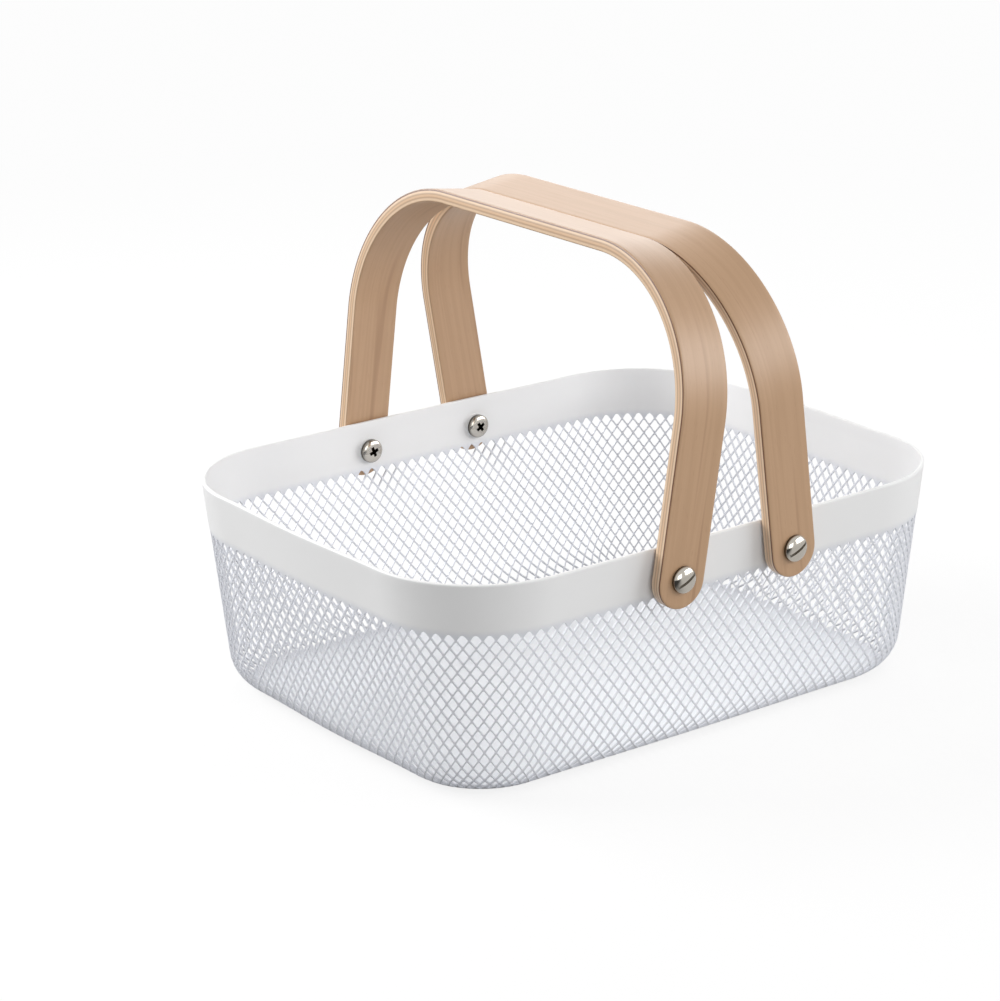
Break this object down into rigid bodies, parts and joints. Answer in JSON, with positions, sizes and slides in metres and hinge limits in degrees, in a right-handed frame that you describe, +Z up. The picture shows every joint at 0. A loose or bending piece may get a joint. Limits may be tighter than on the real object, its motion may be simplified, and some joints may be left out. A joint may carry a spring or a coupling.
{
  "type": "fruit basket",
  "caption": "White moulded plastic fruit basket with diamond lattice walls, a plain rim band and folding bent plywood handles on metal pivots.",
  "frame": {"origin": "on the table under the middle of the base", "axes": "+X along the tub's length, +Y across it, +Z up; the handles swing about axes along Y"},
  "size_m": [0.303, 0.2552, 0.227],
  "materials": {
    "tub_plastic": "white moulded polypropylene, satin",
    "handle_plywood": "clear lacquered bent plywood",
    "pivot_nickel": "bright nickel plate",
    "washer_nylon": "natural nylon"
  },
  "bodies": {
    "tub": {"basket_tub": "tub_plastic", "pivot_post_left_back": "pivot_nickel", "pivot_post_left_front": "pivot_nickel", "pivot_post_right_back": "pivot_nickel", "pivot_post_right_front": "pivot_nickel", "pivot_screw_left_back": "pivot_nickel", "pivot_screw_left_front": "pivot_nickel", "pivot_screw_right_back": "pivot_nickel", "pivot_screw_right_front": "pivot_nickel", "pivot_washer_left_back": "washer_nylon", "pivot_washer_left_front": "washer_nylon", "pivot_washer_right_back": "washer_nylon", "pivot_washer_right_front": "washer_nylon"},
    "left_handle": {"handle_left": "handle_plywood"},
    "right_handle": {"handle_right": "handle_plywood"}
  },
  "joints": [
    {"name": "left_handle_swing", "type": "hinge", "parent": "tub", "child": "left_handle", "pos_m": [-0.0323, 0, 0.0892], "axis": [0, -1, 0], "range_deg": [0, 127]},
    {"name": "right_handle_swing", "type": "hinge", "parent": "tub", "child": "right_handle", "pos_m": [0.0323, 0, 0.0892], "axis": [0, 1, 0], "range_deg": [0, 127]}
  ]
}
